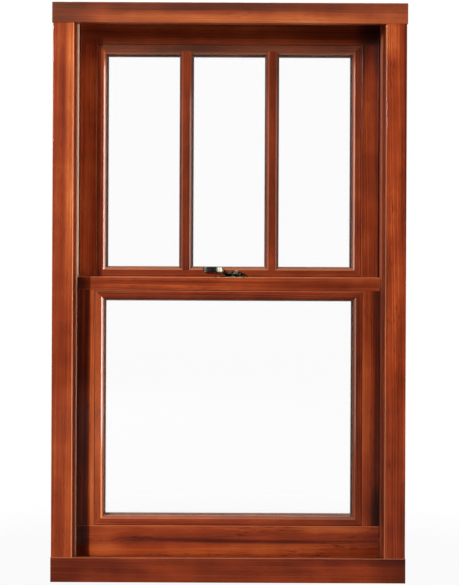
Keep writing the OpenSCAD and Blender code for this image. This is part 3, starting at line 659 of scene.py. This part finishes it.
HABITS = {
    "head_casing": {"painted_sheen": 0.15, "lively": 0.65},
    "sill_casing": {"worn": 0.3, "lively": 0.5},
    "left_casing": {"worn": 0.5, "lively": 0.8},
    "right_casing": {"worn": 0.3, "flecked": 0.5},
    "right_stop": {"worn": 0.0},
    "lower_meeting_rail": {"worn": 0.6},
    "bottom_rail": {"worn": 0.35, "flecked": 0.6},
    "lower_left_stile": {"flecked": 0.4},
    "lower_right_stile": {"flecked": 0.5},
    "lower_top_bead": {"worn": 0.45},
    "lower_bottom_bead": {"worn": 0.15, "varnish": 0.6},
    "lower_left_bead": {"varnish": 1.0},
    "lower_right_bead": {"varnish": 0.4},
    "top_rail": {"painted_sheen": 0.06},
    "upper_top_bead": {"painted_sheen": 0.2, "corner_painted_light": 0.18},
    "upper_bottom_bead": {"worn": 0.4},
    "upper_left_bead": {"varnish": 0.9},
    "upper_right_bead": {"varnish": 1.0},
}
for seed, (name, (along, tone, figure_and_painted_light)) in enumerate(BOARDS.items(), start=1):
    dress(name, mahogany(name, along, seed, tone, figure_and_painted_light, **HABITS.get(name, {})))
print("boards", len(BOARDS), "of which", len(HABITS), "have habits of their own")

# %% [markdown]
# Glass
#
# Each sash holds a sealed unit of two panes. Clear glass could be made of a Glass shader, but the
# Principled shader with full transmission keeps all finishes alike, and a faint smear in its roughness
# shows that there is a surface at all. The panes hardly mirror, so that the ground behind stays white.
#
# A renderer gives glass a dark shadow, because it can't find the lamps through a bent ray. Real panes let
# the light through, so for shadow and diffuse rays the Alpha falls and the wood behind the glass is lit.

# %% Glass
PANES = ("lower_inner_pane", "lower_outer_pane", "upper_inner_pane", "upper_outer_pane")
SMEAR_SCALE = 9.0
SMEAR_CUT = (0.45, 0.8)
SMEAR_ROUGHNESS = 0.012
LIGHT_THROUGH = 0.92


def clear_glass():
    """Glass with a faint smear, which lets the lamps' light through to what lies behind it."""
    material, at = blank_material("clear_glass")
    smear = noise(at, detail=3.0, scale=SMEAR_SCALE).step(*SMEAR_CUT)
    shadow_ray = at.node("ShaderNodeLightPath", {}, {}, "Is Shadow Ray")
    passing = shadow_ray.most(Wire(at.tree, shadow_ray.socket.node.outputs["Is Diffuse Ray"]))
    fixed = {
        "Transmission Weight": 1.0,
        "IOR": 1.5,
        "Specular IOR Level": 0.04,
        "Base Color": WHITE,
    }
    wires = {"Roughness": SMEAR_ROUGHNESS * smear, "Alpha": 1 - LIGHT_THROUGH * passing}
    return finish_surface(material, fixed, wires)


glass = clear_glass()
for name in PANES:
    dress(name, glass)
print("panes", len(PANES))

# %% [markdown]
# Vinyl, nylon and rubber
#
# The liners in the side jambs are extruded vinyl, the guides that run in them are nylon, and the seals
# and the blocks under the glass are rubber. Moulded things are even, but never perfectly so: their colour
# wavers a little, and their skin has a grain finer than a millimetre. One function makes all of them. The
# two liners are lit and shaded copies of one vinyl: the left one is painted pale, as if lit, the right one
# brown, as if in shade. Below the lower sash's top both get a painted shade in brown, in patches, the
# right one the more.

# %% Vinyl, nylon and rubber
CLOUD_SCALE, SKIN_SCALE = 60.0, 2400.0
CLOUD_ROUGHNESS = 0.15
# Painted shade on the liners below the lower sash's top.
LOW_SHADE_COLOUR = paint(74, 34, 20)
SHADE_ABOVE, SHADE_BELOW = 0.01, 0.03
SHADE_LEAST = 0.6
sash_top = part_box("lower_meeting_rail")[1].z


def moulded(name, colour, spread, roughness, painted_shade_below=0.0):
    """A plain moulded finish: its colour wavers by spread, and its skin has a faint grain."""
    material, at = blank_material(name)
    cloud = noise(at, detail=4.0, scale=CLOUD_SCALE)
    skin = noise(at, scale=SKIN_SCALE)
    dark = tuple(part * (1 - spread) for part in colour[:3]) + (1.0,)
    colour = cloud.blend(dark, colour)
    # Painted shade: brown below the lower sash's top, in patches.
    if painted_shade_below:
        painted_light_mask = at.parts()[2].step(sash_top + SHADE_ABOVE, sash_top - SHADE_BELOW)
        patchy = SHADE_LEAST + (1 - SHADE_LEAST) * cloud
        colour = (painted_shade_below * painted_light_mask * patchy).blend(colour, LOW_SHADE_COLOUR)
    bump = at.node("ShaderNodeBump", {}, {"Strength": 0.1, "Distance": 0.0002, "Height": skin})
    wires = {"Base Color": colour, "Normal": bump}
    wires["Roughness"] = roughness + CLOUD_ROUGHNESS * (cloud - 0.5)
    return finish_surface(material, {}, wires)


# Right liner painted brown as if in shade, left liner painted pale as if lit.
vinyl = moulded("shaded_tan_vinyl", paint(160, 78, 46), 0.2, 0.45, painted_shade_below=1.0)
lit_vinyl = moulded("lit_vinyl", paint(250, 208, 180), 0.1, 0.45, painted_shade_below=0.4)
nylon = moulded("white_nylon", paint(226, 222, 210), 0.1, 0.5)
rubber = moulded("black_rubber", paint(38, 35, 33), 0.3, 0.7)
for name in node:
    if "liner" in name:
        dress(name, lit_vinyl if name.startswith("left") else vinyl)
    elif "guides" in name or "caps" in name:
        dress(name, nylon)
    elif "seal" in name or "setting" in name:
        dress(name, rubber)
print("moulded finishes", vinyl.name, nylon.name, rubber.name)

# %% [markdown]
# Metal
#
# The lock is cast and plated in a dull olive nickel, the balances are zinc-coated steel and the spacers
# between the panes bronze-coloured aluminium. A metal is told by what it mirrors, so its colour matters
# less than its edges: cast edges are never sharp. A Bevel modifier could round them, but it needs clean
# meshes, so the Bevel node bends the light at the edges of the solids as they are. The lever's thumb pad
# is crowned in the same way, by a bump whose height falls with the square of the distance from its crown.

# %% Metal
BRUSH_SCALE = 900
BRUSH_ROUGHNESS = 0.08
PATINA_SCALE = 110.0
PATINA_CUT = (0.35, 0.7)
PATINA_ROUGHNESS = 0.16
CAST_EDGE = 0.0005
PAD_LENGTH, CROWN_OFF, CROWN_FALL = 0.036, 0.007, -12.6


def metal(name, colour, worn, roughness, brush, crown=None):
    """A metal that is brushed along one way and clouded by use, with softened edges and perhaps a crown."""
    material, at = blank_material(name)
    x, y, z = at.parts()
    scales = [BRUSH_SCALE * share for share in brush]
    lines = noise(vector(x * scales[0], y * scales[1], z * scales[2]))
    cloud = noise(at, detail=4.0, scale=PATINA_SCALE)
    eased = at.node("ShaderNodeBevel", {"samples": 6}, {"Radius": CAST_EDGE})
    if crown:
        middle, fall = crown
        swell = {"Strength": 1.0, "Distance": 1.0, "Height": fall * (x - middle) ** 2, "Normal": eased}
        eased = at.node("ShaderNodeBump", {}, swell)
    bump = {"Strength": 0.1, "Distance": 0.0001, "Height": lines, "Normal": eased}
    wires = {"Normal": at.node("ShaderNodeBump", {}, bump)}
    wires["Base Color"] = cloud.step(*PATINA_CUT).blend(colour, worn)
    wires["Roughness"] = roughness + PATINA_ROUGHNESS * (cloud - 0.5) + BRUSH_ROUGHNESS * (lines - 0.5)
    return finish_surface(material, {"Metallic": 1.0}, wires)


nickel = metal("satin_nickel", paint(100, 98, 80), paint(58, 56, 44), 0.26, (0.05, 1.0, 1.0))
steel = metal("zinc_steel", paint(178, 180, 182), paint(150, 152, 150), 0.34, (1.0, 1.0, 0.05))
spacer = metal("bronze_aluminium", paint(96, 72, 58), paint(70, 52, 42), 0.36, (0.05, 1.0, 0.05))
crown_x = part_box("lock_lever")[0].x + PAD_LENGTH / 2 - CROWN_OFF
pad_nickel = metal("crowned_nickel", paint(128, 133, 126), paint(86, 89, 80), 0.2, (0.05, 1.0, 1.0),
                   crown=(crown_x, CROWN_FALL))
for name in node:
    if name == "lock_lever":
        dress(name, pad_nickel)
    elif name.startswith(("lock", "keeper")):
        dress(name, nickel)
    elif "spacer" in name:
        dress(name, spacer)
    elif "balance" in name and "caps" not in name or name == "frame_screws":
        dress(name, steel)
print("metals", nickel.name, steel.name, spacer.name)

# %% [markdown]
# Growing small pieces with Geometry Nodes
#
# Screws, twisted strips and bristles follow rules, so they are grown by node trees. Each tree has named
# inputs for its sizes. A few loose points say where its copies go, and each point carries the turn of its
# copy as an attribute. When a tree has done its work, its result becomes a plain mesh, and that piece
# stands in for the plain solid of the same fitting.

# %% Trees and how they grow
SOCKET_KINDS = {float: "NodeSocketFloat", int: "NodeSocketInt", bpy.types.Material: "NodeSocketMaterial"}


def new_tree(name, sizes):
    """A geometry tree with these named inputs, and the wires that its nodes start from."""
    tree = bpy.data.node_groups.new(name, "GeometryNodeTree")
    tree.interface.new_socket("Geometry", in_out="INPUT", socket_type="NodeSocketGeometry")
    tree.interface.new_socket("Geometry", in_out="OUTPUT", socket_type="NodeSocketGeometry")
    for label, kind in sizes.items():
        tree.interface.new_socket(label, in_out="INPUT", socket_type=SOCKET_KINDS[kind])
    start = tree.nodes.new("NodeGroupInput")
    return {socket.name: Wire(tree, socket) for socket in start.outputs if socket.name}


def end_tree(given, piece):
    """Puts a copy of the piece on each point, turned as the point says, and gives it its finish."""
    turn = piece.node("GeometryNodeInputNamedAttribute", {"data_type": "FLOAT_VECTOR"}, {"Name": "turn"})
    places = {"Points": given["Geometry"], "Instance": piece, "Rotation": turn}
    copies = piece.node("GeometryNodeInstanceOnPoints", {}, places)
    solid = piece.node("GeometryNodeRealizeInstances", {}, {"Geometry": copies})
    done = piece.node("GeometryNodeSetMaterial", {}, {"Geometry": solid, "Material": given["Finish"]})
    done.node("NodeGroupOutput", {}, {0: done})
    return done.tree


def lifted(piece, by):
    """The piece moved along z, by a wire or a number."""
    way = piece.node("ShaderNodeCombineXYZ", {}, {"Z": by})
    return piece.node("GeometryNodeTransform", {}, {"Geometry": piece, "Translation": way})


def joined(*pieces):
    """Several pieces as one."""
    return pieces[0].node("GeometryNodeJoinGeometry", {}, {"Geometry": list(pieces)})


def grow(name, tree, places, sizes):
    """Runs a tree on points given as (place, turn), and returns an object with the plain mesh."""
    points = bpy.data.meshes.new(name + "_points")
    points.from_pydata([place for place, turn in places], [], [])
    turns = points.attributes.new("turn", "FLOAT_VECTOR", "POINT")
    turns.data.foreach_set("vector", [part for place, turn in places for part in turn])
    piece = bpy.data.objects.new(name, points)
    scene.collection.objects.link(piece)
    modifier = piece.modifiers.new("grow", "NODES")
    modifier.node_group = tree
    for item in tree.interface.items_tree:
        if item.name in sizes:
            modifier[item.identifier] = sizes[item.name]
    evaluated = piece.evaluated_get(bpy.context.evaluated_depsgraph_get())
    mesh = bpy.data.meshes.new_from_object(evaluated)
    piece.modifiers.remove(modifier)
    piece.data = mesh
    mesh.name = name
    print(name, "has", len(mesh.polygons), "faces")
    return piece


def stand_in(piece, body, solid):
    """The piece takes the place of a plain solid on its body."""
    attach(piece, body)
    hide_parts(solid)


# %% [markdown]
# Screws
#
# Three sets of countersunk screws hold the window together: eight in the frame's corners, two in the
# lock and two in the keeper. A screw is a cone with a cross cut into it, a core, and a thread. The cross
# is cut by two thin boxes with a Boolean, and the thread is a three-sided profile drawn along a spiral.
# The place of each head comes from the corners of the solid that the screws stand in for.

# %% Screws
THREAD_PITCH = 0.0022
QUARTER = math.pi / 2
# Shares of the shank's radius, of the core's length, and of the head's radius and height.
CORE_SHARE, COIL_SHARE, RIDGE_SHARE = 0.75, 0.8, 0.18
THREADED_SHARE = 0.7
SLOT_LONG, SLOT_WIDE, SLOT_DEEP = 1.25, 0.28, 1.2


def screw_tree():
    """A cross-slotted screw that points down from the height of its head's face."""
    given = new_tree("cross_screw", {
        "Head": float, "Shank": float, "Length": float, "Finish": bpy.types.Material,
    })
    head, shank, length = given["Head"], given["Shank"], given["Length"]
    rise = head - shank
    cone = head.node("GeometryNodeMeshCone", {}, {
        "Vertices": 32, "Radius Top": head, "Radius Bottom": shank * CORE_SHARE, "Depth": rise,
    })
    cone = lifted(cone, rise * -1)
    for long_x, long_y in ((SLOT_LONG, SLOT_WIDE), (SLOT_WIDE, SLOT_LONG)):
        size = vector(head * long_x, head * long_y, rise * SLOT_DEEP)
        slot = head.node("GeometryNodeMeshCube", {}, {"Size": size})
        cut = {"Mesh 1": cone, "Mesh 2": slot}
        cone = head.node("GeometryNodeMeshBoolean", {"operation": "DIFFERENCE"}, cut)
    core_l = length - rise
    core = head.node("GeometryNodeMeshCylinder", {}, {
        "Vertices": 12, "Radius": shank * CORE_SHARE, "Depth": core_l,
    })
    core = lifted(core, (length + rise) * -0.5)
    threaded = core_l * THREADED_SHARE
    coil = head.node("GeometryNodeCurveSpiral", {}, {
        "Resolution": 12, "Rotations": threaded / THREAD_PITCH,
        "Start Radius": shank * COIL_SHARE, "End Radius": shank * COIL_SHARE, "Height": threaded,
    })
    ridge = {"Resolution": 3, "Radius": shank * RIDGE_SHARE}
    ridge = head.node("GeometryNodeCurvePrimitiveCircle", {}, ridge)
    sweep = {"Curve": coil, "Profile Curve": ridge, "Fill Caps": True}
    thread = lifted(head.node("GeometryNodeCurveToMesh", {}, sweep), length * -1)
    return end_tree(given, joined(cone, core, thread))


screw = screw_tree()
FRAME_HEAD, FRAME_SHANK, FRAME_LENGTH = 0.0045, 0.00225, 0.045
LOCK_HEAD, LOCK_SHANK, LOCK_LENGTH = 0.003, 0.00175, 0.018
LOCK_SCREW_TURN = 0.3
KEEPER_HEAD, KEEPER_SHANK, KEEPER_LENGTH = 0.0022, 0.0012, 0.014

low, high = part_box("frame_screws")
places = [
    ((x, y, z), (0.0, turn, 0.0))
    for x, turn in ((low.x, -QUARTER), (high.x, QUARTER))
    for y in (low.y + FRAME_HEAD, high.y - FRAME_HEAD)
    for z in (low.z + FRAME_HEAD, high.z - FRAME_HEAD)
]
sizes = {"Head": FRAME_HEAD, "Shank": FRAME_SHANK, "Length": FRAME_LENGTH, "Finish": steel}
stand_in(grow("corner_screws", screw, places, sizes), "frame", "frame_screws")

low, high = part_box("lock_screws")
places = [
    ((x, low.y + LOCK_HEAD, high.z), (0.0, 0.0, LOCK_SCREW_TURN))
    for x in (low.x + LOCK_HEAD, high.x - LOCK_HEAD)
]
sizes = {"Head": LOCK_HEAD, "Shank": LOCK_SHANK, "Length": LOCK_LENGTH, "Finish": nickel}
stand_in(grow("lock_base_screws", screw, places, sizes), "lower_sash", "lock_screws")

low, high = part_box("keeper_screws")
places = [
    ((x, low.y, low.z + KEEPER_HEAD), (QUARTER, 0.0, 0.0))
    for x in (low.x + KEEPER_HEAD, high.x - KEEPER_HEAD)
]
sizes = {"Head": KEEPER_HEAD, "Shank": KEEPER_SHANK, "Length": KEEPER_LENGTH, "Finish": nickel}
stand_in(grow("keeper_plate_screws", screw, places, sizes), "upper_sash", "keeper_screws")

# %% [markdown]
# The twisted strips of the balances
#
# A spiral balance carries the weight of a sash: a steel strip, twisted like a drill, runs through a
# bush in a tube and winds a spring as the sash comes down. The strip is a thin rectangle drawn along a
# straight line whose tilt grows with its length, which is the Set Curve Tilt node's whole use.

# %% Balance strips
STRIP_W, STRIP_T = 0.0054, 0.0016
STRIP_PITCH = 0.045
RINGS_A_TURN = 28


def strip_tree():
    """A strip that stands on its point and twists as it rises."""
    given = new_tree("twisted_strip", {
        "Length": float, "Width": float, "Thickness": float, "Turns": float, "Rings": int,
        "Finish": bpy.types.Material,
    })
    length = given["Length"]
    line = length.node("GeometryNodeCurvePrimitiveLine", {}, {"End": vector(0.0, 0.0, length)})
    line = line.node("GeometryNodeResampleCurve", {}, {"Curve": line, "Count": given["Rings"]})
    share = line.node("GeometryNodeSplineParameter", {}, {}, "Factor")
    tilt = share * given["Turns"] * (2 * math.pi)
    line = line.node("GeometryNodeSetCurveTilt", {}, {"Curve": line, "Tilt": tilt})
    section = {"Width": given["Width"], "Height": given["Thickness"]}
    section = line.node("GeometryNodeCurvePrimitiveQuadrilateral", {}, section)
    sweep = {"Curve": line, "Profile Curve": section, "Fill Caps": True}
    return end_tree(given, line.node("GeometryNodeCurveToMesh", {}, sweep))


strip = strip_tree()
for sash in ("lower", "upper"):
    low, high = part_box(sash + "_balance_rods")
    radius = (high.y - low.y) / 2
    places = [((x, low.y + radius, low.z), (0.0, 0.0, 0.0)) for x in (low.x + radius, high.x - radius)]
    turns = (high.z - low.z) / STRIP_PITCH
    sizes = {"Length": high.z - low.z, "Width": STRIP_W, "Thickness": STRIP_T}
    sizes |= {"Turns": turns, "Rings": int(turns * RINGS_A_TURN), "Finish": steel}
    strips = grow(sash + "_balance_strips", strip, places, sizes)
    stand_in(strips, sash + "_sash", sash + "_balance_rods")

# %% [markdown]
# The pile between the meeting rails
#
# A brush of short black fibre closes the gap where the two meeting rails pass each other. It is a
# backing strip with a foot in the rail's groove, and rows of tufts. Hair curves would make a denser
# brush, but the tufts are seen as a texture only, so each is a four-sided cone, set on a grid, leaned and
# shortened by a seeded random value.

# %% Pile seal
TUFT_GAP = 0.0012
TUFT_ROWS = 4
TUFT_R = 0.00055
TUFT_TIP, TUFT_REACH = 0.3, 0.97
TUFT_LEAN, TUFT_SPIN = 0.16, 3.0
TUFT_LEAST = (0.8, 0.8, 0.86)
FOOT_H = 0.002
BACKING_T = 0.0003
PILE_SEED = 7


def pile_tree():
    """Tufts on a backing strip, with a foot behind it."""
    given = new_tree("pile", {
        "Length": float, "Height": float, "Reach": float, "Foot": float, "Columns": int, "Rows": int,
        "Seed": int, "Finish": bpy.types.Material,
    })
    length, height, reach, foot = (given[part] for part in ("Length", "Height", "Reach", "Foot"))
    grid = length.node("GeometryNodeMeshGrid", {}, {
        "Size X": length - 2 * TUFT_R, "Size Y": height - 2 * TUFT_R,
        "Vertices X": given["Columns"], "Vertices Y": given["Rows"],
    })
    tuft = length.node("GeometryNodeMeshCone", {}, {
        "Vertices": 4, "Radius Top": TUFT_R * TUFT_TIP, "Radius Bottom": TUFT_R,
        "Depth": reach * TUFT_REACH,
    })
    lean = length.node("FunctionNodeRandomValue", {"data_type": "FLOAT_VECTOR"}, {
        "Min": (-TUFT_LEAN, -TUFT_LEAN, 0.0), "Max": (TUFT_LEAN, TUFT_LEAN, TUFT_SPIN),
        "Seed": given["Seed"],
    })
    size = length.node("FunctionNodeRandomValue", {"data_type": "FLOAT_VECTOR"}, {
        "Min": TUFT_LEAST, "Max": (1.0, 1.0, 1.0), "Seed": given["Seed"] + 1,
    })
    tufts = length.node("GeometryNodeInstanceOnPoints", {}, {
        "Points": grid, "Instance": tuft, "Rotation": lean, "Scale": size,
    })
    tufts = length.node("GeometryNodeRealizeInstances", {}, {"Geometry": tufts})
    backing = length.node("GeometryNodeMeshCube", {}, {"Size": vector(length, height, BACKING_T)})
    backing = lifted(backing, BACKING_T / 2)
    stem = length.node("GeometryNodeMeshCube", {}, {"Size": vector(length, FOOT_H, foot)})
    stem = lifted(stem, foot * -0.5)
    return end_tree(given, joined(tufts, backing, stem))


low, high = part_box("meeting_seal")
rail_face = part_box("upper_meeting_rail")[0].y
middle = ((low.x + high.x) / 2, rail_face, (low.z + high.z) / 2)
sizes = {"Length": high.x - low.x, "Height": high.z - low.z, "Reach": rail_face - low.y}
sizes |= {"Foot": high.y - rail_face, "Columns": int((high.x - low.x) / TUFT_GAP), "Rows": TUFT_ROWS}
sizes |= {"Seed": PILE_SEED, "Finish": rubber}
pile = grow("meeting_pile", pile_tree(), [(middle, (QUARTER, 0.0, 0.0))], sizes)
stand_in(pile, "upper_sash", "meeting_seal")
